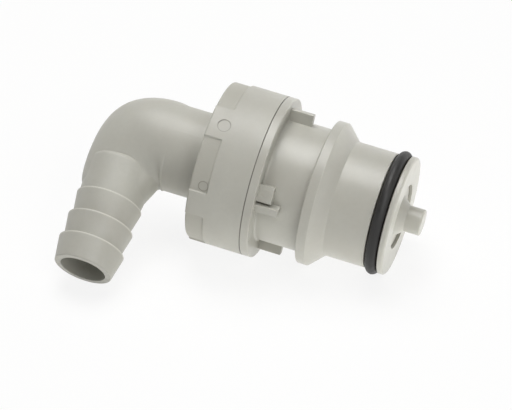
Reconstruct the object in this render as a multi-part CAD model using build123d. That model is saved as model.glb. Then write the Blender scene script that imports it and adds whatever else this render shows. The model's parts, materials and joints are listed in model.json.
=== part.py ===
from build123d import *
from math import acos, asin, atan2, cos, degrees, hypot, pi, radians, sin, sqrt
import os

# Elbow insert of a plastic quick disconnect coupling, in millimetres, +Z up, lying at rest.
# Pieces are drawn with the main axis along X, towards the nose, and the barb leg along -Y. The
# origin is on the main axis, in the weld seam between collar and insert. The finished pieces are then
# rolled about X and dipped about Y, until they lie on flange, latch ring and the barb's mouth.

# Hose barb and leg, sized for a 1/2 inch (12.7 mm) hose; distances run from the main axis
leg_bore_radius = 5.03
barb_crest_radius = 7.3
barb_root_radius = 6.35
barb_count = 3
barb_pitch = 5.4
first_barb_distance = 16.5
barb_crest_rounding = 0.1
mouth_rounding = 0.25
leg_end_radius = 6.85
leg_top_radius = 7.4
leg_top_distance = 7.4
leg_top_rounding = 1.1

# Bend: its outer corner is one arc, and its sections fan out from a pivot by the inner corner,
# which is also where the straight neck tube ends
leg_offset = 29.8
bend_outer_radius = 12.3
bend_left_reach = 8.0
bend_pivot_back = 20.6
bend_pivot_below = 10.1
bend_leg_half_width = 6.3
bend_width_power = 3
bend_end_distance = 14.4
bend_end_inset = 0.1
bend_fan_steps = 4

# Neck tube and collar cup of the elbow
tube_radius = 9.45
tube_bore_radius = 7.0
tube_root = 1.0
collar_radius = 17.6
collar_length = 12.4
collar_rear_rounding = 0.4
collar_front_rounding = 0.15
cup_radius = 15.0
cup_floor = 2.8

# Shallow grip recesses round the collar's rear, as (from, to) angles away from the barb side
recess_length = 4.2
recess_depth = 0.35
recess_wall_rounding = 0.5
recess_run_off = 1.0
recess_spans = [(-23.0, 23.0), (42.0, 82.5), (106.5, 253.5), (277.5, 318.0)]
large_mark_radius = 1.45
large_mark_angle = 92.5
large_mark_from_rear = 3.4
small_mark_radius = 1.15
small_mark_angle = 47.0
small_mark_from_rear = 2.9
mark_depth = 0.15

# Insert body: stations along the main axis, from the seam
spigot_end_clearance = 0.2
spigot_clearance = 0.05
flange_thickness = 1.85
neck_radius = 13.5
neck_length = 9.9
neck_root_rounding = 0.6
latch_ring_radius = 15.75
latch_ring_land = 2.1
nose_radius = 12.6
nose_length = 8.95
ring_groove_width = 2.95
lip_radius = 12.95
lip_length = 1.35
lip_rounding = 0.5
edge_rounding = 0.2

# Drive ribs and ejector blocks on the neck, beside the flange; angles run from the barb side
rib_angles = [40.5, 139.5, 220.5, 319.5]
rib_radius = 16.0
rib_thickness = 1.6
rib_length = 5.1
rib_root = 0.4
rib_rounding = 0.2
block_from_angle = 45.5
block_to_angle = 60.0
block_radius = 15.4
block_length = 3.2
block_root = 0.5
block_rounding = 0.15
block_mark_radius = 0.85

# Small dimple in the flange's front face, near its edge on the barb side
dimple_radius = 0.3
dimple_depth = 0.4
dimple_angle = 8.5
dimple_from_edge = 0.7

# Nose ring
nose_ring_outer_radius = 13.57
nose_ring_section = 2.55

# Bores of the insert body
opening_radius = 7.1
chamber_radius = 9.4
rear_bore_radius = 11.0
guide_shoulder = 10.0
snap_depth = 0.35
snap_from_shoulder = 1.4

# Valve poppet and its ring
poppet_clearance = 0.25
poppet_sink = 0.6
stub_radius = 2.85
stub_length = 5.35
stub_cone_radius = 4.4
stub_cone_length = 1.9
stub_rounding = 0.3
pilot_length = 2.35
poppet_ring_section = 1.8
poppet_ring_side_play = 0.05
poppet_groove_depth = 0.85
poppet_head_radius = 8.5
poppet_head_thickness = 1.4
seat_clearance = 0.05
stem_radius = 2.0
stem_tail = 3.0

# Spring guide
guide_thickness = 2.4
guide_play = 0.05
guide_ring_width = 1.75
guide_hub_radius = 3.5
guide_hub_length = 5.0
guide_arm_width = 2.0
guide_arm_count = 3
spring_seat_radius = 6.3
spring_seat_thickness = 1.0
stem_running_clearance = 0.06

# Valve spring
spring_radius = 5.1
spring_wire_radius = 0.5
spring_turns = 7
spring_closed_turns = 1
spring_closed_gap = 0.05
spring_points_per_turn = 10
spring_locator_length = 1.2
spring_locator_clearance = 0.3

# How near to a radius an edge must lie to be rounded with that radius's other edges
same_radius = 0.01

# Stations that follow from the sizes above
spigot_length = collar_length - cup_floor - spigot_end_clearance
neck_end = flange_thickness + neck_length
land_end = neck_end + latch_ring_land
bevel_end = land_end + latch_ring_radius - nose_radius
groove_start = bevel_end + nose_length
groove_end = groove_start + ring_groove_width
nose_face = groove_end + lip_length
mouth_distance = first_barb_distance + barb_count * barb_pitch
bend_inner_radius = bend_pivot_below - tube_radius
nose_groove_radius = nose_ring_outer_radius - nose_ring_section

poppet_face = nose_face - poppet_sink
pilot_radius = opening_radius - poppet_clearance
groove_front = poppet_face - pilot_length
groove_back = groove_front - poppet_ring_section - 2 * poppet_ring_side_play
poppet_groove_radius = pilot_radius - poppet_groove_depth
poppet_ring_radius = poppet_groove_radius + poppet_ring_section / 2
poppet_ring_station = groove_front - poppet_ring_side_play - poppet_ring_section / 2
head_back = groove_back - poppet_head_thickness

# The 45 degree seat stands one clearance off the ring, and ends at the chamber's wall
seat_start = (
    poppet_ring_station
    + sqrt(2) * (poppet_ring_section / 2 + seat_clearance)
    - (opening_radius - poppet_ring_radius)
)
seat_end = seat_start - (chamber_radius - opening_radius)

guide_front = guide_shoulder - snap_from_shoulder - guide_play
guide_back = guide_front - guide_thickness
snap_radius = rear_bore_radius + snap_depth
spring_inner_radius = spring_radius - spring_wire_radius
locator_radius = spring_inner_radius - spring_locator_clearance


def rest_dip():
    """Angle in degrees by which the nose hangs down when the part lies on its insert."""
    edge_dip = atan2(collar_radius - latch_ring_radius, land_end - flange_thickness)
    ring_middle = nose_ring_outer_radius - nose_ring_section / 2
    drop = collar_radius - ring_middle
    run = (groove_start + groove_end) / 2 - flange_thickness
    ring_dip = acos(nose_ring_section / 2 / hypot(drop, run)) - atan2(run, drop)
    return degrees(min(edge_dip, ring_dip))


def rest_roll():
    """Angle in degrees by which the barb leg hangs down when its mouth touches the table too."""
    dip = radians(rest_dip())
    height = collar_radius * cos(dip) + (flange_thickness + leg_offset) * sin(dip)
    reach = hypot(mouth_distance, barb_root_radius)
    slope = asin(height / reach) - atan2(barb_root_radius, mouth_distance)
    return degrees(asin(sin(slope) / cos(dip)))


def turned(corners, axis=Axis.X):
    """Solid turned about the axis, from corners given as (along, radius, rounding)."""
    points = [(along, radius) for along, radius, _ in corners]
    if axis == Axis.Y:
        points = [(radius, -along) for along, radius in points]
    outline = FilletPolyline(points, radius=[rounding for _, _, rounding in corners], close=True)
    return revolve(make_face(outline), axis=axis)


def rod(radius, start, end):
    """Round rod on the main axis between two stations."""
    return Plane((start, 0, 0), z_dir=(1, 0, 0)) * extrude(Circle(radius), end - start)


def leg_rod(radius, start, end):
    """Round rod on the leg's axis between two distances from the main axis."""
    return Plane((-leg_offset, -start, 0), z_dir=(0, -1, 0)) * extrude(Circle(radius), end - start)


def around(angle):
    """Plane on the main axis whose X direction points out at an angle from the barb side."""
    outward = (0, -cos(radians(angle)), sin(radians(angle)))
    return Plane((0, 0, 0), x_dir=outward, z_dir=(1, 0, 0))


def sector(corners, from_angle, to_angle):
    """Solid turned between two angles from the barb side, from corners as (radius, along, rounding)."""
    outward = around(from_angle).x_dir
    section_plane = Plane((0, 0, 0), x_dir=outward, z_dir=outward.cross(Vector(1, 0, 0)))
    points = [(radius, along) for radius, along, _ in corners]
    outline = FilletPolyline(points, radius=[rounding for _, _, rounding in corners], close=True)
    section = section_plane * make_face(outline)
    return revolve(section, axis=Axis((0, 0, 0), (-1, 0, 0)), revolution_arc=to_angle - from_angle)


def edges_at(solid, radius):
    """Edges of a solid whose middle lies at a radius from the main axis."""
    return solid.edges().filter_by(
        lambda edge: abs(hypot((edge @ 0.5).Y, (edge @ 0.5).Z) - radius) < same_radius)


def bend_reach(angle):
    """Distance from the bend's pivot to its outer outline, at an angle from +Y towards -X."""
    back = sin(radians(angle))
    up = cos(radians(angle))
    left = leg_offset + bend_left_reach
    arc_x = -left + bend_outer_radius
    arc_y = tube_radius - bend_outer_radius
    to_arc_x = -bend_pivot_back - arc_x
    to_arc_y = -bend_pivot_below - arc_y
    half_b = -to_arc_x * back + to_arc_y * up
    c = to_arc_x**2 + to_arc_y**2 - bend_outer_radius**2
    arc_distance = -half_b + sqrt(half_b**2 - c)
    hit_x = -bend_pivot_back - arc_distance * back
    hit_y = -bend_pivot_below + arc_distance * up
    if hit_x > arc_x:
        return (tube_radius + bend_pivot_below) / up
    if hit_y < arc_y:
        return (left - bend_pivot_back) / back
    return arc_distance


def bend_sections():
    """Sections of the bend, from the end of the neck tube round to the leg."""
    sections = []
    for step in range(bend_fan_steps + 1):
        angle = 90.0 * step / bend_fan_steps
        back = sin(radians(angle))
        up = cos(radians(angle))
        half_length = (bend_reach(angle) - bend_inner_radius) / 2
        half_width = tube_radius + (bend_leg_half_width - tube_radius) * back**bend_width_power
        middle = bend_inner_radius + half_length
        centre = (-bend_pivot_back - middle * back, -bend_pivot_below + middle * up, 0)
        plane = Plane(centre, x_dir=(-back, up, 0), z_dir=(-up, -back, 0))
        sections.append(plane * Ellipse(half_length, half_width))
    leg_end = Plane((-leg_offset, -bend_end_distance, 0), x_dir=(-1, 0, 0), z_dir=(0, -1, 0))
    sections.append(leg_end * Circle(leg_end_radius - bend_end_inset))
    return sections


def barb_leg():
    """Straight leg with a squared, rounded top end, and the barbs down to the mouth."""
    corners = [(leg_top_distance, 0, 0), (leg_top_distance, leg_top_radius, leg_top_rounding)]
    corners.append((first_barb_distance, leg_end_radius, 0))
    for barb in range(barb_count):
        crest = first_barb_distance + barb * barb_pitch
        corners.append((crest, barb_crest_radius, barb_crest_rounding))
        last = barb == barb_count - 1
        corners.append((crest + barb_pitch, barb_root_radius, mouth_rounding if last else 0))
    corners.append((mouth_distance, 0, 0))
    return Location((-leg_offset, 0, 0)) * turned(corners, Axis.Y)


def grip_recess(from_angle, to_angle):
    """Shallow recess at the collar's rear, with soft walls and the collar's own rear rounding."""
    rear = -collar_length
    front = rear + recess_length
    floor = collar_radius - recess_depth
    above = collar_radius + recess_depth
    recess = sector([
        (above, rear - recess_run_off, 0),
        (above, front, 0),
        (floor, front, recess_wall_rounding),
        (floor, rear, collar_rear_rounding),
        (floor - recess_run_off, rear, 0),
        (floor - recess_run_off, rear - recess_run_off, 0),
    ], from_angle, to_angle)
    return fillet(edges_at(recess, floor).filter_by(Axis.X), recess_wall_rounding)


def sunk_mark(radius, angle, station, surface_radius):
    """Round ejector mark, sunk below a surface of that radius."""
    centre = around(angle).from_local_coords(Vector(surface_radius - mark_depth, 0, 0))
    plane = Plane((station, centre.Y, centre.Z), x_dir=(1, 0, 0), z_dir=centre.normalized())
    return plane * extrude(Circle(radius), radius)


def elbow_body():
    """Elbow moulding: barb leg, bend, neck tube and collar cup."""
    collar = turned([
        (-collar_length, 0, 0),
        (-collar_length, collar_radius, collar_rear_rounding),
        (0, collar_radius, collar_front_rounding),
        (0, 0, 0),
    ])
    neck_tube = rod(tube_radius, -bend_pivot_back, tube_root - collar_length)
    body = collar + neck_tube + loft(bend_sections()) + barb_leg()
    corner_x = -leg_offset + (tube_bore_radius - leg_bore_radius)
    body -= rod(cup_radius, cup_floor - collar_length, 0)
    body -= rod(tube_bore_radius, corner_x, cup_floor - collar_length)
    body -= Location((corner_x, 0, 0)) * Sphere(tube_bore_radius)
    body -= leg_rod(leg_bore_radius, 0, mouth_distance)
    for from_angle, to_angle in recess_spans:
        body -= grip_recess(from_angle, to_angle)
    for side in (1, -1):
        body -= sunk_mark(large_mark_radius, side * large_mark_angle,
                          large_mark_from_rear - collar_length, collar_radius)
        body -= sunk_mark(small_mark_radius, side * small_mark_angle,
                          small_mark_from_rear - collar_length, collar_radius - recess_depth)
    return body


def drive_rib(angle):
    """Rib that stands straight out of the neck beside the flange, for the welding tool to drive."""
    height = rib_radius - neck_radius + rib_root
    length = rib_length + rib_root
    centre = (rib_radius - height / 2, 0, flange_thickness + rib_length - length / 2)
    rib = Location(centre) * Box(height, rib_thickness, length)
    return around(angle) * fillet(rib.edges().group_by(Axis.X)[-1], rib_rounding)


def ejector_block(face):
    """Low block on the neck beside the lower drive rib, with a round mark sunk in its top."""
    front = flange_thickness + block_length
    low, high = sorted((face * block_from_angle, face * block_to_angle))
    block = sector([
        (neck_radius - block_root, flange_thickness - block_root, 0),
        (block_radius, flange_thickness - block_root, 0),
        (block_radius, front, 0),
        (neck_radius - block_root, front, 0),
    ], low, high)
    block = fillet(edges_at(block, block_radius), block_rounding)
    return block - sunk_mark(block_mark_radius, (low + high) / 2, front - block_length / 2, block_radius)


def insert_body():
    """Insert moulding: weld spigot, flange, neck, latch ring, nose and lip, with the valve's bores."""
    outside = turned([
        (-spigot_length, 0, 0),
        (-spigot_length, cup_radius - spigot_clearance, edge_rounding),
        (0, cup_radius - spigot_clearance, 0),
        (0, collar_radius, collar_front_rounding),
        (flange_thickness, collar_radius, edge_rounding),
        (flange_thickness, neck_radius, neck_root_rounding),
        (neck_end, neck_radius, neck_root_rounding),
        (neck_end, latch_ring_radius, edge_rounding),
        (land_end, latch_ring_radius, edge_rounding),
        (bevel_end, nose_radius, edge_rounding),
        (groove_start, nose_radius, edge_rounding),
        (groove_start, nose_groove_radius, edge_rounding),
        (groove_end, nose_groove_radius, edge_rounding),
        (groove_end, lip_radius, edge_rounding),
        (nose_face, lip_radius, lip_rounding),
        (nose_face, 0, 0),
    ])
    for angle in rib_angles:
        outside += drive_rib(angle)
    for face in (1, -1):
        outside += ejector_block(face)
    snap_front = guide_shoulder - snap_from_shoulder
    snap_back = snap_front - guide_thickness - 2 * guide_play
    bores = turned([
        (-spigot_length, 0, 0),
        (-spigot_length, rear_bore_radius, 0),
        (snap_back, rear_bore_radius, 0),
        (snap_back, snap_radius, 0),
        (snap_front, snap_radius, 0),
        (snap_front, rear_bore_radius, 0),
        (guide_shoulder, rear_bore_radius, 0),
        (guide_shoulder, chamber_radius, 0),
        (seat_end, chamber_radius, 0),
        (seat_start, opening_radius, 0),
        (nose_face, opening_radius, 0),
        (nose_face, 0, 0),
    ])
    dimple_centre = around(dimple_angle).from_local_coords(Vector(collar_radius - dimple_from_edge, 0, 0))
    dimple_plane = Plane((flange_thickness, dimple_centre.Y, dimple_centre.Z), z_dir=(-1, 0, 0))
    return outside - bores - dimple_plane * extrude(Circle(dimple_radius), dimple_depth)


def o_ring(middle_radius, section, station):
    """Round ring of round section about the main axis."""
    return Plane((station, 0, 0), z_dir=(1, 0, 0)) * Torus(middle_radius, section / 2)


def valve_poppet():
    """Poppet: stub and cone in front, pilot, ring groove, head, spring locator and stem."""
    return turned([
        (stem_tail, 0, 0),
        (stem_tail, stem_radius, stub_rounding),
        (head_back - spring_locator_length, stem_radius, 0),
        (head_back - spring_locator_length, locator_radius, edge_rounding),
        (head_back, locator_radius, 0),
        (head_back, poppet_head_radius, edge_rounding),
        (groove_back, poppet_head_radius, edge_rounding),
        (groove_back, poppet_groove_radius, 0),
        (groove_front, poppet_groove_radius, 0),
        (groove_front, pilot_radius, 0),
        (poppet_face, pilot_radius, edge_rounding),
        (poppet_face, stub_cone_radius, edge_rounding),
        (poppet_face + stub_cone_length, stub_radius, edge_rounding),
        (poppet_face + stub_length, stub_radius, stub_rounding),
        (poppet_face + stub_length, 0, 0),
    ])


def spring_guide():
    """Spider in the insert's snap groove: outer ring, arms, spring seat and stem hub."""
    guide = rod(snap_radius, guide_back, guide_front)
    guide -= rod(snap_radius - guide_ring_width, guide_back, guide_front)
    for arm in range(guide_arm_count):
        length = snap_radius - guide_ring_width / 2
        bar = Location((length / 2, 0, guide_thickness / 2)) * Box(length, guide_arm_width, guide_thickness)
        guide += Location((guide_back, 0, 0)) * (around(360.0 * arm / guide_arm_count) * bar)
    guide += rod(spring_seat_radius, guide_front - spring_seat_thickness, guide_front)
    guide += rod(guide_hub_radius, guide_front - guide_hub_length, guide_front)
    guide += rod(locator_radius, guide_front, guide_front + spring_locator_length)
    hole_end = guide_front + spring_locator_length
    return guide - rod(stem_radius + stem_running_clearance, guide_front - guide_hub_length, hole_end)


def spring_rise(turn):
    """Share of the spring's length at a turn: closed turns at both ends, even pitch between."""
    closed_pitch = 2 * spring_wire_radius + spring_closed_gap
    length = head_back - guide_front - 2 * spring_wire_radius
    active_turns = spring_turns - 2 * spring_closed_turns
    active_pitch = (length - 2 * spring_closed_turns * closed_pitch) / active_turns
    first = min(turn, spring_closed_turns)
    middle = min(max(turn - spring_closed_turns, 0), active_turns)
    last = max(turn - spring_closed_turns - active_turns, 0)
    return (first + last) * closed_pitch + middle * active_pitch


def valve_spring():
    """Compression spring with closed end turns, between the guide's seat and the poppet's head."""
    points = []
    for step in range(spring_turns * spring_points_per_turn + 1):
        turn = step / spring_points_per_turn
        station = guide_front + spring_wire_radius + spring_rise(turn)
        points.append((station, spring_radius * cos(2 * pi * turn), spring_radius * sin(2 * pi * turn)))
    coil = Spline(*points)
    start = Plane(coil @ 0, z_dir=coil % 0)
    return sweep(start * Circle(spring_wire_radius), path=coil)


pieces = {
    "elbow_body": elbow_body(),
    "insert_body": insert_body(),
    "nose_ring": o_ring(nose_groove_radius + nose_ring_section / 2, nose_ring_section,
                        (groove_start + groove_end) / 2),
    "valve_poppet": valve_poppet(),
    "poppet_ring": o_ring(poppet_ring_radius, poppet_ring_section, poppet_ring_station),
    "spring_guide": spring_guide(),
    "valve_spring": valve_spring(),
}

os.makedirs("parts", exist_ok=True)
for name, piece in pieces.items():
    at_rest = piece.rotate(Axis.X, rest_roll()).rotate(Axis.Y, rest_dip())
    export_step(at_rest, f"parts/{name}.step")
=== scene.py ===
"""Looks of a moulded elbow insert for a quick disconnect hose coupling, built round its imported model."""
import json
import logging
import math
from dataclasses import dataclass
from enum import Enum
from typing import Any

import bmesh
import bpy
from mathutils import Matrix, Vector


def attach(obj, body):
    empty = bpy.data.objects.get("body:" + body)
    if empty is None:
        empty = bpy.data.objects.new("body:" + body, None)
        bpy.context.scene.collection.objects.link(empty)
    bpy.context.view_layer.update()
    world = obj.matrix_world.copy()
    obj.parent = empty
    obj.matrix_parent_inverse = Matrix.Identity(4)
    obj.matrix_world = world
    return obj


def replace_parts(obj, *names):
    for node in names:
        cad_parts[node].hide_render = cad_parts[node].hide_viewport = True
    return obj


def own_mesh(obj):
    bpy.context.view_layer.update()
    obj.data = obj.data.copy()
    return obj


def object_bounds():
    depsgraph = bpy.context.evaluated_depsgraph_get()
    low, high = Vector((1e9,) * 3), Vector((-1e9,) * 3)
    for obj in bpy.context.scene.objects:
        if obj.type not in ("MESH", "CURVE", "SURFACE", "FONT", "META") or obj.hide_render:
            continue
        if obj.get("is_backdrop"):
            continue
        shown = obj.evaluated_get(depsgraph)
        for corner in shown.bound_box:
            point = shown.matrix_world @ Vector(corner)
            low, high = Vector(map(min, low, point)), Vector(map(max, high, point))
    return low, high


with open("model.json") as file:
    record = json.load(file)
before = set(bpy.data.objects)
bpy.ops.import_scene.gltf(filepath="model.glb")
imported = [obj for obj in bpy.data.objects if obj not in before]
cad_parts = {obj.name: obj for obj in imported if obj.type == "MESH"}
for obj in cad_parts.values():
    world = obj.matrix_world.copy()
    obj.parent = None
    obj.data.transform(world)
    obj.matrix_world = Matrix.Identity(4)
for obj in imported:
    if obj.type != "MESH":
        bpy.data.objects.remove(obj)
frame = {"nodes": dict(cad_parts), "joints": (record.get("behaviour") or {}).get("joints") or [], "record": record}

LOG = logging.getLogger("elbow_insert")
MM = 0.001
FIXED_BODY = "coupling_body"
VALVE_JOINT = "valve_slide"

# The sRGB curve has a straight foot, and above it a power of the offset value
SRGB_FOOT_END = 0.04045
SRGB_FOOT_SLOPE = 12.92
SRGB_OFFSET = 0.055
SRGB_POWER = 2.4

# Nearly all of a noise's factor lies between these two values
NOISE_LOW = 0.3
NOISE_HIGH = 0.7

# The Mix node keeps one set of sockets for each kind of value, and these are those of its colours
MIX_COLOUR_A = 6
MIX_COLOUR_B = 7
MIX_COLOUR_OUT = 2

WHITE = (1.0, 1.0, 1.0, 1.0)


class Slot(Enum):
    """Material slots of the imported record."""

    SEAL_RUBBER = "seal_rubber"
    SPRING_STEEL = "spring_steel"


class Side(Enum):
    """Sides from which the studio's lamps shine, as azimuth and elevation in degrees."""

    OVERHEAD = (0.0, 89.0)
    RIGHT = (45.0, 43.0)
    BEHIND_LEFT = (222.0, 66.0)
    BEHIND_RIGHT = (165.0, 69.0)


class Detail(Enum):
    """Octaves of finer noise on top of a pattern."""

    SMOOTH = 0.0
    EVEN = 2.0
    RAGGED = 3.0


class Reach(Enum):
    """What a distance is measured from, as the share that each of the part's three axes has in it."""

    POINT = (1.0, 1.0, 1.0)
    MAIN_AXIS = (0.0, 1.0, 1.0)
    LEG_AXIS = (1.0, 0.0, 1.0)


def direction(azimuth_deg: float, elevation_deg: float) -> Vector:
    """Gives the direction from the object to a place round it.

    Args:
        azimuth_deg: 0 in front of the object, on -Y, and 90 on +X.
        elevation_deg: degrees above the horizon.

    Returns:
        The direction, of length 1.
    """
    azimuth = math.radians(azimuth_deg)
    elevation = math.radians(elevation_deg)
    return Vector((math.sin(azimuth) * math.cos(elevation), -math.cos(azimuth) * math.cos(elevation),
                   math.sin(elevation)))


def linear_colour(code: str) -> tuple[float, float, float, float]:
    """Turns an sRGB hex colour to the linear values that the shaders take.

    Args:
        code: colour as "#RRGGBB".

    Returns:
        Linear red, green and blue, and full opacity.
    """
    channels = []
    for start in (1, 3, 5):
        value = int(code[start:start + 2], 16) / 255
        if value <= SRGB_FOOT_END:
            channels.append(value / SRGB_FOOT_SLOPE)
        else:
            channels.append(((value + SRGB_OFFSET) / (1 + SRGB_OFFSET)) ** SRGB_POWER)
    return channels[0], channels[1], channels[2], 1.0


def add_node(
    tree: bpy.types.NodeTree,
    kind: str,
    settings: dict[str | int, Any] | None = None,
    links: dict[str | int, bpy.types.NodeSocket] | None = None,
) -> bpy.types.Node:
    """Adds one node to a node tree, with its settings and its links.

    Args:
        tree: node tree that gets the node.
        kind: the node's type.
        settings: values by input name, input number or property name.
        links: output sockets by the name or number of the input that each feeds.

    Returns:
        The new node.
    """
    node = tree.nodes.new(kind)
    for key, value in (settings or {}).items():
        if isinstance(key, int) or key in node.inputs:
            node.inputs[key].default_value = value
        else:
            setattr(node, key, value)
    for key, output in (links or {}).items():
        tree.links.new(output, node.inputs[key])
    return node


def empty_material(name: str) -> bpy.types.Material:
    """Makes a material whose node tree has nothing but its output.

    Args:
        name: the material's name.

    Returns:
        The new material.
    """
    material = bpy.data.materials.new(name)
    material.use_nodes = True
    material.node_tree.nodes.clear()
    material.node_tree.nodes.new("ShaderNodeOutputMaterial")
    return material


def set_surface(material: bpy.types.Material, shader: bpy.types.NodeSocket) -> None:
    """Links a shader to the output of its material.

    Args:
        material: material made by empty_material.
        shader: the shader's output socket.
    """
    tree = material.node_tree
    tree.links.new(shader, tree.nodes["Material Output"].inputs["Surface"])


def noise(tree: bpy.types.NodeTree, spacing_mm: float,
          detail: Detail = Detail.EVEN) -> bpy.types.NodeSocket:
    """Adds a solid noise whose features are a real distance apart.

    Args:
        tree: node tree that gets the noise.
        spacing_mm: distance from one feature to the next in millimetres.
        detail: how much finer noise lies on top.

    Returns:
        The noise's factor, about 0.5 in the middle.
    """
    place = add_node(tree, "ShaderNodeTexCoord")
    texture = add_node(tree, "ShaderNodeTexNoise", {"Scale": 1 / (spacing_mm * MM), "Detail": detail.value},
                       {"Vector": place.outputs["Object"]})
    return texture.outputs["Fac"]


def patches(tree: bpy.types.NodeTree, spacing_mm: float, detail: Detail = Detail.EVEN, low: float = 0.0,
            high: float = 1.0) -> bpy.types.NodeSocket:
    """Adds soft patches that are a real distance apart and use a whole range of values.

    Args:
        tree: node tree that gets the patches.
        spacing_mm: distance from one patch to the next in millimetres.
        detail: how ragged the patches are.
        low: value between the patches.
        high: value in the patches.

    Returns:
        The value.
    """
    node = add_node(tree, "ShaderNodeMapRange",
                    {"From Min": NOISE_LOW, "From Max": NOISE_HIGH, "To Min": low, "To Max": high},
                    {"Value": noise(tree, spacing_mm, detail)})
    return node.outputs["Result"]


def band(tree: bpy.types.NodeTree, length: bpy.types.NodeSocket, low_mm: float, high_mm: float,
         fade_mm: float, within: bpy.types.NodeSocket | None = None) -> bpy.types.NodeSocket:
    """Adds a mask that is 1 while a length lies between two limits, and fades outside them.

    Args:
        tree: node tree that gets the nodes.
        length: the length in metres.
        low_mm: lower limit in millimetres.
        high_mm: upper limit in millimetres.
        fade_mm: width over which the mask fades.
        within: a mask outside which this one is 0 too.

    Returns:
        The mask, from 0 to 1.
    """
    rise = add_node(tree, "ShaderNodeMapRange",
                    {"From Min": (low_mm - fade_mm) * MM, "From Max": low_mm * MM}, {"Value": length})
    fall = add_node(tree, "ShaderNodeMapRange",
                    {"From Min": high_mm * MM, "From Max": (high_mm + fade_mm) * MM,
                     "To Min": 1.0, "To Max": 0.0},
                    {"Value": length})
    mask = add_node(tree, "ShaderNodeMath", {"operation": "MULTIPLY"},
                    {0: rise.outputs["Result"], 1: fall.outputs["Result"]})
    if within is not None:
        mask = add_node(tree, "ShaderNodeMath", {"operation": "MULTIPLY"},
                        {0: mask.outputs["Value"], 1: within})
    return mask.outputs["Value"]


def share_of_seen_rays(tree: bpy.types.NodeTree, share: float) -> bpy.types.NodeSocket:
    """Adds a value that is the share for camera, glossy and transmission rays, and 0 for all others.

    Args:
        tree: node tree that gets the nodes.
        share: value for the rays through which the background is seen.

    Returns:
        The value's output socket.
    """
    path = add_node(tree, "ShaderNodeLightPath")
    total = path.outputs["Is Camera Ray"]
    for ray in ("Is Glossy Ray", "Is Transmission Ray"):
        step = add_node(tree, "ShaderNodeMath", {"operation": "ADD", "use_clamp": True},
                        {0: total, 1: path.outputs[ray]})
        total = step.outputs["Value"]
    scaled = add_node(tree, "ShaderNodeMath", {"operation": "MULTIPLY", 1: share}, {0: total})
    return scaled.outputs["Value"]


@dataclass(frozen=True)
class PartAxes:
    """Axes of the part in its resting frame, as its record's mounts give them."""

    seam: Vector
    nose_way: Vector
    leg_way: Vector
    side_way: Vector

    @classmethod
    def from_record(cls, record: dict[str, Any]) -> "PartAxes":
        """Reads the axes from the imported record.

        Args:
            record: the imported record.

        Returns:
            The axes: towards the nose, towards the barb's mouth, and square to both.
        """
        mounts = {mount["name"]: mount for mount in record["mounts"]}
        nose_way = Vector(mounts["nose"]["axis"]).normalized()
        leg_way = Vector(mounts["hose_barb"]["axis"]).normalized()
        return cls(Vector(mounts["collar"]["pos_m"]), nose_way, leg_way, nose_way.cross(-leg_way))

    def place(self, along: float, radius: float, turn: float) -> Vector:
        """Gives a point by its place about the main axis.

        Args:
            along: metres from the weld seam towards the nose.
            radius: metres from the main axis.
            turn: radians from the barb's side towards the top.

        Returns:
            The point in the part's frame.
        """
        outward = self.leg_way * math.cos(turn) + self.side_way * math.sin(turn)
        return self.seam + self.nose_way * along + outward * radius


@dataclass(frozen=True)
class RoundSpan:
    """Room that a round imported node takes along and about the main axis, in metres."""

    start: float
    end: float
    inner: float
    outer: float

    @classmethod
    def of_node(cls, node: str, axes: PartAxes) -> "RoundSpan":
        """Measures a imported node.

        Args:
            node: the node's name.
            axes: axes of the part.

        Returns:
            The node's span.
        """
        stations = []
        radii = []
        for vertex in frame["nodes"][node].data.vertices:
            offset = vertex.co - axes.seam
            station = offset.dot(axes.nose_way)
            stations.append(station)
            radii.append((offset - axes.nose_way * station).length)
        return cls(min(stations), max(stations), min(radii), max(radii))


@dataclass(frozen=True)
class SunkMark:
    """Round mark sunk into the collar, by its place about the main axis, in millimetres."""

    station: float
    surface_radius: float
    angle_deg: float
    radius: float

    def centre(self) -> tuple[float, float, float]:
        """Gives its middle: along the main axis, along the barb leg and to the side."""
        turn = math.radians(self.angle_deg)
        return self.station, self.surface_radius * math.cos(turn), self.surface_radius * math.sin(turn)


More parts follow.
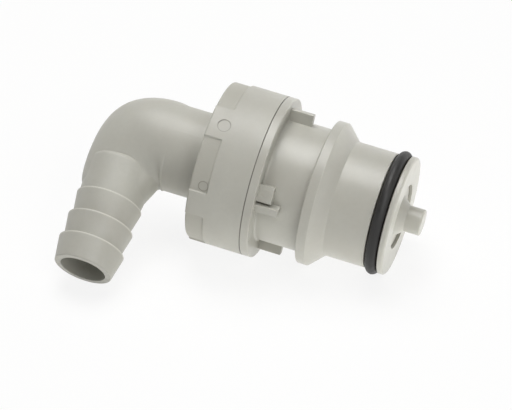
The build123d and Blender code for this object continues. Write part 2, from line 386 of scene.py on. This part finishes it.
@dataclass(frozen=True)
class MouldedDetails:
    """Small traces of moulding and welding, and masks for painted shade and painted highlights, at their places in
    the part's own axes, in millimetres.

    A place is given by its distance along the main axis from the weld seam, its distance from that
    axis and its angle from the barb's side. Both sides of the part are alike, so an angle holds for both.
    """

    axes: PartAxes
    seam_half_width: float = 0.09
    seam_from_radius: float = 16.5
    collar_radius: float = 17.6
    recess_rear: float = -12.4
    recess_front: float = -8.35
    recess_depth: float = 0.35
    marks: tuple[SunkMark, ...] = (SunkMark(-9.0, 17.6, 92.5, 1.45), SunkMark(-9.5, 17.25, 47.0, 1.15))
    mark_line: float = 0.16
    mark_share: float = 0.5
    leg_station: float = -29.8
    barbs_from: float = 15.0
    barbs_to: float = 34.0
    crest_from_radius: float = 7.25
    crest_to_radius: float = 7.6
    crest_fade: float = 0.02
    fade: float = 0.06

    def place(self, tree: bpy.types.NodeTree) -> bpy.types.NodeSocket:
        """Adds the surface's place in the part's axes, with its two sides folded onto each other.

        Args:
            tree: node tree that gets the nodes.

        Returns:
            Vector of metres along the main axis, along the barb leg and to the side.
        """
        at = add_node(tree, "ShaderNodeTexCoord").outputs["Object"]
        parts = []
        for way in (self.axes.nose_way, self.axes.leg_way, self.axes.side_way):
            part = add_node(tree, "ShaderNodeVectorMath", {"operation": "DOT_PRODUCT", 1: tuple(way)},
                            {0: at})
            parts.append(part.outputs["Value"])
        side = add_node(tree, "ShaderNodeMath", {"operation": "ABSOLUTE"}, {0: parts[2]})
        folded = add_node(tree, "ShaderNodeCombineXYZ", {},
                          {"X": parts[0], "Y": parts[1], "Z": side.outputs["Value"]})
        return folded.outputs["Vector"]

    def reach(self, tree: bpy.types.NodeTree, place: bpy.types.NodeSocket, kind: Reach,
              centre: tuple[float, float, float] = (0.0, 0.0, 0.0)) -> bpy.types.NodeSocket:
        """Adds the distance from a point or a line.

        Args:
            tree: node tree that gets the nodes.
            place: the surface's place in the part's axes.
            kind: what the distance is measured from.
            centre: the point, or a point on the line, in millimetres.

        Returns:
            The distance in metres.
        """
        offset = add_node(tree, "ShaderNodeVectorMath",
                          {"operation": "SUBTRACT", 1: tuple(value * MM for value in centre)}, {0: place})
        square = add_node(tree, "ShaderNodeVectorMath", {"operation": "MULTIPLY", 1: kind.value},
                          {0: offset.outputs["Vector"]})
        length = add_node(tree, "ShaderNodeVectorMath", {"operation": "LENGTH"},
                          {0: square.outputs["Vector"]})
        return length.outputs["Value"]

    def recess_floor(self, tree: bpy.types.NodeTree, place: bpy.types.NodeSocket) -> bpy.types.NodeSocket:
        """Adds a mask of the grip recesses' floors, whose mould face was eroded coarser.

        Args:
            tree: node tree that gets the nodes.
            place: the surface's place in the part's axes.

        Returns:
            The mask.
        """
        along = add_node(tree, "ShaderNodeSeparateXYZ", {}, {"Vector": place}).outputs["X"]
        rows = band(tree, along, self.recess_rear, self.recess_front, self.fade)
        floor = self.collar_radius - self.recess_depth
        return band(tree, self.reach(tree, place, Reach.MAIN_AXIS), floor - 2 * self.recess_depth,
                    floor + self.fade, self.fade, rows)

    def shade_and_dirt_lines(self, tree: bpy.types.NodeTree, place: bpy.types.NodeSocket) -> bpy.types.NodeSocket:
        """Adds a mask of the weld seam and of the lines round the sunk marks, for painted dark lines: painted
        shade, with some dirt in the seam.

        Args:
            tree: node tree that gets the nodes.
            place: the surface's place in the part's axes.

        Returns:
            The mask.
        """
        along = add_node(tree, "ShaderNodeSeparateXYZ", {}, {"Vector": place}).outputs["X"]
        seam = band(tree, along, -self.seam_half_width, self.seam_half_width, self.fade)
        total = band(tree, self.reach(tree, place, Reach.MAIN_AXIS), self.seam_from_radius,
                     2 * self.collar_radius, self.fade, seam)
        for mark in self.marks:
            distance = self.reach(tree, place, Reach.POINT, mark.centre())
            line = band(tree, distance, mark.radius - self.mark_line, mark.radius, self.fade)
            weaker = add_node(tree, "ShaderNodeMath", {"operation": "MULTIPLY", 1: self.mark_share},
                              {0: line})
            darker = add_node(tree, "ShaderNodeMath", {"operation": "MAXIMUM"},
                              {0: total, 1: weaker.outputs["Value"]})
            total = darker.outputs["Value"]
        return total

    def crest_highlights(self, tree: bpy.types.NodeTree, place: bpy.types.NodeSocket) -> bpy.types.NodeSocket:
        """Adds a mask of the barbs' crests, where a paler colour is a painted highlight.

        Args:
            tree: node tree that gets the nodes.
            place: the surface's place in the part's axes.

        Returns:
            The mask.
        """
        down = add_node(tree, "ShaderNodeSeparateXYZ", {}, {"Vector": place}).outputs["Y"]
        barbs = band(tree, down, self.barbs_from, self.barbs_to, self.fade)
        radius = self.reach(tree, place, Reach.LEG_AXIS, (self.leg_station, 0.0, 0.0))
        return band(tree, radius, self.crest_from_radius, self.crest_to_radius, self.crest_fade, barbs)


@dataclass(frozen=True)
class MouldedPolypropylene:
    """Polypropylene, filled warm grey, injection moulded against a fine spark-eroded mould face."""

    name: str
    details: MouldedDetails
    body_hex: str = "#B6B5AC"
    flow_hex: str = "#B0AEA5"
    flow_spacing_mm: float = 9.0
    fleck_hex: str = "#9D9B91"
    fleck_spacing_mm: float = 0.9
    fleck_share: float = 0.1
    # Painted dark lines at the seam and round the sunk marks: painted shade, with some dirt in the seam
    shade_and_dirt_hex: str = "#55534B"
    shade_and_dirt_share: float = 0.7
    # Paler barb crests: a painted highlight
    crest_highlight_hex: str = "#CFCEC5"
    crest_highlight_share: float = 0.8
    # Darker recess floors: painted shade
    recess_shade_hex: str = "#ABA99F"
    recess_shade_share: float = 0.7
    recess_roughness: float = 0.12
    recess_grain_spacing_mm: float = 0.42
    recess_grain_height_mm: float = 0.03
    ior: float = 1.49
    low_roughness: float = 0.4
    high_roughness: float = 0.5
    gloss_spacing_mm: float = 2.5
    grain_spacing_mm: float = 0.5
    grain_height_mm: float = 0.006
    sink_spacing_mm: float = 6.0
    sink_height_mm: float = 0.05
    depth_mm: float = 0.6
    depth_weight: float = 0.12
    depth_radius: tuple[float, float, float] = (1.0, 0.9, 0.7)

    def material(self) -> bpy.types.Material:
        """Builds the plastic's material.

        Returns:
            The material.
        """
        made = empty_material(self.name)
        tree = made.node_tree
        place = self.details.place(tree)
        # The recess floors were eroded coarser, which makes them flatter in sheen; their darker tone is painted
        # shade
        recess = self.details.recess_floor(tree, place)
        # A little light passes through the skin, which softens the edges and the shadows' ends
        shader = add_node(tree, "ShaderNodeBsdfPrincipled",
                          {"IOR": self.ior, "Subsurface Weight": self.depth_weight,
                           "Subsurface Radius": self.depth_radius, "Subsurface Scale": self.depth_mm * MM},
                          {"Base Color": self.colour(tree, place, recess),
                           "Roughness": self.sheen(tree, recess), "Normal": self.relief(tree, recess)})
        set_surface(made, shader.outputs["BSDF"])
        return made

    def colour(self, tree: bpy.types.NodeTree, place: bpy.types.NodeSocket,
               recess: bpy.types.NodeSocket) -> bpy.types.NodeSocket:
        """Adds the plastic's colour with its flow and flecks, painted shade in the recess floors, painted
        highlights on the barb crests, and painted dark lines of shade with some dirt in the seam.

        Args:
            tree: node tree that gets the nodes.
            place: the surface's place in the part's axes.
            recess: mask of the recess floors.

        Returns:
            The colour.
        """
        # Flow of the melt leaves broad, very weak clouds of a warmer tone, seen as an uneven grey
        flow = add_node(tree, "ShaderNodeMix",
                        {"data_type": "RGBA", MIX_COLOUR_A: linear_colour(self.body_hex),
                         MIX_COLOUR_B: linear_colour(self.flow_hex)},
                        {0: patches(tree, self.flow_spacing_mm)})
        # Filler near the skin shows as fine flecks, which keep the surface from looking like paint
        flecks = patches(tree, self.fleck_spacing_mm, Detail.RAGGED)
        colour = self.tinted(tree, flow.outputs[MIX_COLOUR_OUT], flecks, self.fleck_hex, self.fleck_share)
        # The recess floors' darker tone is painted shade
        colour = self.tinted(tree, colour, recess, self.recess_shade_hex, self.recess_shade_share)
        # Barb crests get a paler colour, a painted highlight; the seam and the outlines of the sunk marks get
        # painted dark lines, painted shade with some dirt in the seam
        crest_highlight = self.details.crest_highlights(tree, place)
        colour = self.tinted(tree, colour, crest_highlight, self.crest_highlight_hex, self.crest_highlight_share)
        shade_and_dirt = self.details.shade_and_dirt_lines(tree, place)
        return self.tinted(tree, colour, shade_and_dirt, self.shade_and_dirt_hex, self.shade_and_dirt_share)

    def tinted(self, tree: bpy.types.NodeTree, colour: bpy.types.NodeSocket, mask: bpy.types.NodeSocket,
               code: str, share: float) -> bpy.types.NodeSocket:
        """Mixes a second colour in where a mask says so.

        Args:
            tree: node tree that gets the nodes.
            colour: the colour so far.
            mask: mask from 0 to 1.
            code: the second colour.
            share: how much of it shows where the mask is 1.

        Returns:
            The new colour.
        """
        amount = add_node(tree, "ShaderNodeMath", {"operation": "MULTIPLY", 1: share}, {0: mask})
        mixed = add_node(tree, "ShaderNodeMix", {"data_type": "RGBA", MIX_COLOUR_B: linear_colour(code)},
                         {0: amount.outputs["Value"], MIX_COLOUR_A: colour})
        return mixed.outputs[MIX_COLOUR_OUT]

    def sheen(self, tree: bpy.types.NodeTree, recess: bpy.types.NodeSocket) -> bpy.types.NodeSocket:
        """Adds the skin's roughness, uneven where the mould's face was, and rougher in the recesses.

        Args:
            tree: node tree that gets the nodes.
            recess: mask of the recess floors.

        Returns:
            The roughness.
        """
        skin = patches(tree, self.gloss_spacing_mm, Detail.RAGGED, self.low_roughness, self.high_roughness)
        rougher = add_node(tree, "ShaderNodeMath", {"operation": "MULTIPLY_ADD", 1: self.recess_roughness},
                           {0: recess, 2: skin})
        return rougher.outputs["Value"]

    def relief(self, tree: bpy.types.NodeTree, recess: bpy.types.NodeSocket) -> bpy.types.NodeSocket:
        """Adds the skin's relief: slow waviness, fine grain, and coarser grain in the recesses.

        Args:
            tree: node tree that gets the nodes.
            recess: mask of the recess floors.

        Returns:
            The normal.
        """
        # The mould face's fine pits give a satin skin. They are drawn several times as wide as they
        # are, because the real ones are too fine to show, and shrinkage adds a slow waviness
        sinks = add_node(tree, "ShaderNodeBump", {"Distance": self.sink_height_mm * MM},
                         {"Height": noise(tree, self.sink_spacing_mm, Detail.SMOOTH)})
        grain = add_node(tree, "ShaderNodeBump", {"Distance": self.grain_height_mm * MM},
                         {"Height": noise(tree, self.grain_spacing_mm), "Normal": sinks.outputs["Normal"]})
        coarse = add_node(tree, "ShaderNodeBump", {"Distance": self.recess_grain_height_mm * MM},
                          {"Strength": recess, "Height": noise(tree, self.recess_grain_spacing_mm),
                           "Normal": grain.outputs["Normal"]})
        return coarse.outputs["Normal"]


@dataclass(frozen=True)
class MouldedEpdm:
    """EPDM rubber, compression moulded, with a matt skin and a breath of talc."""

    body_hex: str = "#121110"
    talc_hex: str = "#1F1E1C"
    talc_spacing_mm: float = 1.6
    ior: float = 1.5
    low_roughness: float = 0.42
    high_roughness: float = 0.6
    grain_spacing_mm: float = 0.5
    grain_height_mm: float = 0.012

    def material(self) -> bpy.types.Material:
        """Builds the rubber's material.

        Returns:
            The material.
        """
        made = empty_material("epdm_rubber_moulded_black")
        tree = made.node_tree
        # Talc left from storage lightens the black in soft patches and takes the gloss off there
        talc = patches(tree, self.talc_spacing_mm, Detail.RAGGED)
        colour = add_node(tree, "ShaderNodeMix",
                          {"data_type": "RGBA", MIX_COLOUR_A: linear_colour(self.body_hex),
                           MIX_COLOUR_B: linear_colour(self.talc_hex)},
                          {0: talc})
        rough = add_node(tree, "ShaderNodeMapRange",
                         {"To Min": self.low_roughness, "To Max": self.high_roughness}, {"Value": talc})
        # The skin's grain is drawn coarser than it is, to break up the highlight as the real one does
        grain = add_node(tree, "ShaderNodeBump", {"Distance": self.grain_height_mm * MM},
                         {"Height": noise(tree, self.grain_spacing_mm)})
        shader = add_node(tree, "ShaderNodeBsdfPrincipled", {"IOR": self.ior},
                          {"Base Color": colour.outputs[MIX_COLOUR_OUT],
                           "Roughness": rough.outputs["Result"], "Normal": grain.outputs["Normal"]})
        set_surface(made, shader.outputs["BSDF"])
        return made


@dataclass(frozen=True)
class DrawnStainlessWire:
    """Stainless spring wire, cold drawn, with fine die lines along it."""

    body_hex: str = "#B8B6B0"
    stain_hex: str = "#A19E97"
    stain_spacing_mm: float = 2.0
    low_roughness: float = 0.22
    high_roughness: float = 0.36
    line_spacing_mm: float = 0.25
    line_height_mm: float = 0.004

    def material(self) -> bpy.types.Material:
        """Builds the wire's material.

        Returns:
            The material.
        """
        made = empty_material("stainless_steel_drawn_wire")
        tree = made.node_tree
        # Heat from stress relief leaves a faint straw tone in patches, which are a little duller
        stain = patches(tree, self.stain_spacing_mm)
        colour = add_node(tree, "ShaderNodeMix",
                          {"data_type": "RGBA", MIX_COLOUR_A: linear_colour(self.body_hex),
                           MIX_COLOUR_B: linear_colour(self.stain_hex)},
                          {0: stain})
        rough = add_node(tree, "ShaderNodeMapRange",
                         {"To Min": self.low_roughness, "To Max": self.high_roughness}, {"Value": stain})
        # Die lines spread the highlight across the wire
        lines = add_node(tree, "ShaderNodeBump", {"Distance": self.line_height_mm * MM},
                         {"Height": noise(tree, self.line_spacing_mm)})
        shader = add_node(tree, "ShaderNodeBsdfPrincipled", {"Metallic": 1.0},
                          {"Base Color": colour.outputs[MIX_COLOUR_OUT],
                           "Roughness": rough.outputs["Result"], "Normal": lines.outputs["Normal"]})
        set_surface(made, shader.outputs["BSDF"])
        return made


@dataclass(frozen=True)
class OpalTable:
    """Studio floor: light table of cast opal acrylic, matt, whose tubes glow strongest behind the part."""

    sheet_hex: str = "#F2F2F0"
    front_glow: float = 0.3
    back_glow: float = 2.8
    back_azimuth_deg: float = 140.0
    front_end_mm: float = -60.0
    back_end_mm: float = 140.0
    seen_white: float = 0.86

    def material(self) -> bpy.types.Material:
        """Builds the opal sheet's material.

        Returns:
            The material.
        """
        made = empty_material("acrylic_cast_opal_white")
        tree = made.node_tree
        sheet = add_node(tree, "ShaderNodeBsdfDiffuse", {"Color": linear_colour(self.sheet_hex)})
        glow = add_node(tree, "ShaderNodeEmission", {"Color": WHITE}, {"Strength": self.glow(tree)})
        lit = add_node(tree, "ShaderNodeAddShader", {},
                       {0: sheet.outputs["BSDF"], 1: glow.outputs["Emission"]})
        # Where it is seen, the sheet is nearly all white, and what the lamps add keeps a weak shadow
        white = add_node(tree, "ShaderNodeEmission", {"Color": WHITE, "Strength": 1.0})
        mix = add_node(tree, "ShaderNodeMixShader", {},
                       {0: share_of_seen_rays(tree, self.seen_white), 1: lit.outputs["Shader"],
                        2: white.outputs["Emission"]})
        set_surface(made, mix.outputs["Shader"])
        return made

    def glow(self, tree: bpy.types.NodeTree) -> bpy.types.NodeSocket:
        """Adds the strength of the sheet's glow, which grows towards the back.

        Args:
            tree: node tree that gets the nodes.

        Returns:
            The strength.
        """
        place = add_node(tree, "ShaderNodeTexCoord")
        depth = add_node(tree, "ShaderNodeVectorMath",
                         {"operation": "DOT_PRODUCT", 1: tuple(direction(self.back_azimuth_deg, 0.0))},
                         {0: place.outputs["Object"]})
        power = add_node(tree, "ShaderNodeMapRange",
                         {"interpolation_type": "SMOOTHSTEP", "From Min": self.front_end_mm * MM,
                          "From Max": self.back_end_mm * MM, "To Min": self.front_glow,
                          "To Max": self.back_glow},
                         {"Value": depth.outputs["Value"]})
        # The glow leaves out the rays through which the sheet is seen, so it never outshines white
        unseen = add_node(tree, "ShaderNodeMath", {"operation": "SUBTRACT", 0: 1.0},
                          {1: share_of_seen_rays(tree, 1.0)})
        level = add_node(tree, "ShaderNodeMath", {"operation": "MULTIPLY"},
                         {0: power.outputs["Result"], 1: unseen.outputs["Value"]})
        return level.outputs["Value"]


def new_piece(name: str, mesh: bmesh.types.BMesh, material: bpy.types.Material) -> bpy.types.Object:
    """Makes a smooth-shaded piece from a mesh and lets it ride on the body that stays still.

    Args:
        name: the piece's name.
        mesh: its finished mesh, which is freed.
        material: its material.

    Returns:
        The piece.
    """
    bmesh.ops.recalc_face_normals(mesh, faces=mesh.faces)
    for face in mesh.faces:
        face.smooth = True
    data = bpy.data.meshes.new(name)
    mesh.to_mesh(data)
    mesh.free()
    piece = bpy.data.objects.new(name, data)
    bpy.context.scene.collection.objects.link(piece)
    data.materials.append(material)
    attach(piece, FIXED_BODY)
    return piece


def skin_loops(mesh: bmesh.types.BMesh, loops: list[list[bmesh.types.BMVert]], closed: bool) -> None:
    """Joins neighbouring loops of points with faces.

    Args:
        mesh: mesh that holds the points.
        loops: closed loops with the same number of points each.
        closed: whether the last loop joins the first.
    """
    count = len(loops[0])
    pairs = list(zip(loops, loops[1:]))
    if closed:
        pairs.append((loops[-1], loops[0]))
    for first, second in pairs:
        for index in range(count):
            after = (index + 1) % count
            mesh.faces.new((first[index], first[after], second[after], second[index]))


@dataclass(frozen=True)
class DressedNode:
    """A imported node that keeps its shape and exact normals, and gets its real material."""

    node: str

    def dress(self, material: bpy.types.Material) -> bpy.types.Object:
        """Puts the material on the node.

        Args:
            material: the node's material.

        Returns:
            The node's object.
        """
        shown = frame["nodes"][self.node]
        shown.data.materials.clear()
        shown.data.materials.append(material)
        return shown


@dataclass
class NoseSeal:
    """O-ring in the nose groove, with the thin flash line of its mould round its outside."""

    axes: PartAxes
    around_steps: int = 192
    section_steps: int = 40
    flash_height_mm: float = 0.035
    flash_half_width_deg: float = 5.0

    def build(self, material: bpy.types.Material) -> bpy.types.Object:
        """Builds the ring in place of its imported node.

        Args:
            material: the ring's rubber.

        Returns:
            The ring.
        """
        span = RoundSpan.of_node("nose_ring", self.axes)
        radius = (span.end - span.start) / 2
        middle_radius = span.outer - radius
        station = (span.start + span.end) / 2
        mesh = bmesh.new()
        loops = []
        for step in range(self.around_steps):
            turn = math.tau * step / self.around_steps
            loop = []
            for part in range(self.section_steps):
                angle = math.tau * part / self.section_steps
                distance = radius + self.flash(angle)
                loop.append(mesh.verts.new(self.axes.place(
                    station + distance * math.sin(angle), middle_radius + distance * math.cos(angle),
                    turn)))
            loops.append(loop)
        skin_loops(mesh, loops, closed=True)
        ring = new_piece("nose_seal", mesh, material)
        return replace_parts(ring, "nose_ring")

    def flash(self, angle: float) -> float:
        """Gives the height of the flash line above the round section.

        Args:
            angle: radians round the section, from its outermost point.

        Returns:
            The height in metres.
        """
        off_crest = abs((angle + math.pi) % math.tau - math.pi)
        half_width = math.radians(self.flash_half_width_deg)
        return self.flash_height_mm * MM * max(0.0, 1 - off_crest / half_width)


@dataclass
class ValveSpring:
    """Compression spring behind the poppet, coiled with closed end turns."""

    axes: PartAxes
    turns: float = 7.0
    closed_turns: float = 1.0
    steps_per_turn: int = 36
    wire_steps: int = 14
    closed_gap_mm: float = 0.05

    def rise(self, turn: float, length: float, wire: float) -> float:
        """Gives the distance along the axis that the wire's middle has risen at a turn.

        Args:
            turn: turns from the rear end.
            length: rise over the whole spring.
            wire: the wire's diameter.

        Returns:
            The rise.
        """
        closed_pitch = wire + self.closed_gap_mm * MM
        active = self.turns - 2 * self.closed_turns
        open_pitch = (length - 2 * self.closed_turns * closed_pitch) / active
        closed = min(turn, self.closed_turns) + max(turn - self.closed_turns - active, 0.0)
        opened = min(max(turn - self.closed_turns, 0.0), active)
        return closed * closed_pitch + opened * open_pitch

    def build(self, material: bpy.types.Material, travel: float) -> bpy.types.Object:
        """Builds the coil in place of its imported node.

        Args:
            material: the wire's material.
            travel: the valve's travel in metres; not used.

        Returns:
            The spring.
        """
        span = RoundSpan.of_node("valve_spring", self.axes)
        wire = span.outer - span.inner
        coil_radius = (span.outer + span.inner) / 2
        length = span.end - span.start - wire
        mesh = bmesh.new()
        loops = []
        for step in range(int(self.turns * self.steps_per_turn) + 1):
            turn = step / self.steps_per_turn
            station = span.start + wire / 2 + self.rise(turn, length, wire)
            loop = []
            for part in range(self.wire_steps):
                angle = math.tau * part / self.wire_steps
                along = station + wire / 2 * math.sin(angle)
                loop.append(mesh.verts.new(self.axes.place(
                    along, coil_radius + wire / 2 * math.cos(angle), math.tau * turn)))
            loops.append(loop)
        skin_loops(mesh, loops, closed=False)
        mesh.faces.new(reversed(loops[0]))
        mesh.faces.new(loops[-1])
        coil = new_piece("valve_spring_coil", mesh, material)
        tuple(self.axes.place(span.start, 0.0, 0.0))
        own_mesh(coil)
        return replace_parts(coil, "valve_spring")


@dataclass(frozen=True)
class PhotoCamera:
    """Camera that stands where the photograph's camera stood."""

    azimuth_deg: float = 18.206
    elevation_deg: float = 33.519
    roll_deg: float = -0.67
    distance_mm: float = 800.2
    aim_mm: tuple[float, float, float] = (-1.21, -4.0, -5.14)
    lens_mm: float = 264.1
    sensor_mm: float = 36.0
    nearest_mm: float = 10.0
    farthest_mm: float = 10000.0

    def build(self) -> bpy.types.Object:
        """Makes the camera and gives it to the scene.

        Returns:
            The camera.
        """
        data = bpy.data.cameras.new("photo_camera")
        data.sensor_width = self.sensor_mm
        data.lens = self.lens_mm
        data.clip_start = self.nearest_mm * MM
        data.clip_end = self.farthest_mm * MM
        camera = bpy.data.objects.new("photo_camera", data)
        bpy.context.scene.collection.objects.link(camera)
        back = direction(self.azimuth_deg, self.elevation_deg)
        level = (-back).to_track_quat("-Z", "Y").to_matrix()
        roll = math.radians(self.roll_deg)
        right = level.col[0] * math.cos(roll) + level.col[1] * math.sin(roll)
        turned = level.copy()
        turned.col[0] = right
        turned.col[1] = back.cross(right)
        camera.rotation_euler = turned.to_euler()
        camera.location = Vector(self.aim_mm) * MM + back * (self.distance_mm * MM)
        bpy.context.scene.camera = camera
        return camera


@dataclass(frozen=True)
class Softbox:
    """One square softbox, which faces the object."""

    name: str
    side: Side
    power: float
    width_mm: float = 350.0
    distance_mm: float = 700.0

    def build(self, centre: Vector) -> bpy.types.Object:
        """Makes the lamp.

        Args:
            centre: point that the lamp faces.

        Returns:
            The lamp.
        """
        data = bpy.data.lights.new(self.name, "AREA")
        data.shape = "SQUARE"
        data.size = self.width_mm * MM
        data.energy = self.power
        lamp = bpy.data.objects.new(self.name, data)
        bpy.context.scene.collection.objects.link(lamp)
        way = direction(*self.side.value)
        lamp.location = centre + way * (self.distance_mm * MM)
        lamp.rotation_euler = (-way).to_track_quat("-Z", "Y").to_euler()
        return lamp


@dataclass(frozen=True)
class Studio:
    """Plain white light table under a few softboxes, in a room with a white backdrop all round."""

    centre: Vector
    floor_height: float
    floor_width_mm: float = 3000.0
    ambient: float = 0.02
    backdrop_top_deg: float = 20.0
    ceiling_from_deg: float = 45.0
    ceiling: float = 0.1
    softboxes: tuple[Softbox, ...] = (
        Softbox("softbox_overhead", Side.OVERHEAD, 2.2),
        Softbox("softbox_right", Side.RIGHT, 1.55),
        Softbox("softbox_behind_left", Side.BEHIND_LEFT, 1.8),
        Softbox("softbox_behind_right", Side.BEHIND_RIGHT, 0.6),
    )

    def build_floor(self) -> bpy.types.Object:
        """Lays the floor on which the part rests.

        Returns:
            The floor.
        """
        mesh = bmesh.new()
        half = self.floor_width_mm * MM / 2
        corners = [mesh.verts.new((x * half, y * half, self.floor_height))
                   for x, y in ((-1, -1), (1, -1), (1, 1), (-1, 1))]
        mesh.faces.new(corners)
        data = bpy.data.meshes.new("floor")
        mesh.to_mesh(data)
        mesh.free()
        floor = bpy.data.objects.new("floor", data)
        bpy.context.scene.collection.objects.link(floor)
        data.materials.append(OpalTable().material())
        floor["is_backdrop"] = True
        return floor

    def build_world(self) -> bpy.types.World:
        """Makes the world: a white backdrop under a dim ceiling where it is seen, and almost no light.

        Returns:
            The world.
        """
        world = bpy.data.worlds.new("studio")
        world.use_nodes = True
        tree = world.node_tree
        tree.nodes.clear()
        way = add_node(tree, "ShaderNodeTexCoord")
        height = add_node(tree, "ShaderNodeSeparateXYZ", {}, {"Vector": way.outputs["Generated"]})
        room = add_node(tree, "ShaderNodeMapRange",
                        {"From Min": math.sin(math.radians(self.backdrop_top_deg)),
                         "From Max": math.sin(math.radians(self.ceiling_from_deg)),
                         "To Min": 1.0 - self.ambient, "To Max": self.ceiling - self.ambient},
                        {"Value": height.outputs["Z"]})
        strength = add_node(tree, "ShaderNodeMath", {"operation": "MULTIPLY_ADD", 2: self.ambient},
                            {0: share_of_seen_rays(tree, 1.0), 1: room.outputs["Result"]})
        sky = add_node(tree, "ShaderNodeBackground", {"Color": WHITE},
                       {"Strength": strength.outputs["Value"]})
        add_node(tree, "ShaderNodeOutputWorld", {}, {"Surface": sky.outputs["Background"]})
        bpy.context.scene.world = world
        return world

    def build_lamps(self) -> list[bpy.types.Object]:
        """Hangs the softboxes.

        Returns:
            The lamps.
        """
        return [box.build(self.centre) for box in self.softboxes]


def main() -> None:
    """Builds camera, studio and pieces in order, and reports each."""
    logging.basicConfig(level=logging.INFO, format="%(name)s: %(message)s")
    at_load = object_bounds()
    low, high = at_load
    axes = PartAxes.from_record(frame["record"])

    bpy.context.scene.view_settings.view_transform = "Standard"
    LOG.info("camera: %s", PhotoCamera().build().name)
    studio = Studio((low + high) / 2, low.z)
    LOG.info("floor: %s", studio.build_floor().name)
    LOG.info("world: %s", studio.build_world().name)
    LOG.info("lamps: %s", [lamp.name for lamp in studio.build_lamps()])

    # The elbow's mould face was eroded coarser than that of the other three mouldings
    details = MouldedDetails(axes)
    textured = MouldedPolypropylene("polypropylene_moulded_textured", details).material()
    satin = MouldedPolypropylene("polypropylene_moulded_satin", details, low_roughness=0.3,
                                 high_roughness=0.36, grain_height_mm=0.003).material()
    rubber = MouldedEpdm().material()
    wire = DrawnStainlessWire().material()
    finishes = {"elbow_body": textured, "insert_body": satin, "valve_poppet": satin,
                "spring_guide": satin, "poppet_ring": rubber}
    for node, material in finishes.items():
        LOG.info("node: %s", DressedNode(node).dress(material).name)
    LOG.info("ring: %s", NoseSeal(axes).build(rubber).name)
    slide = next(joint for joint in frame["joints"] if joint["name"] == VALVE_JOINT)
    LOG.info("spring: %s", ValveSpring(axes).build(wire, slide["range_m"][1]).name)


if __name__ == "__main__":
    main()
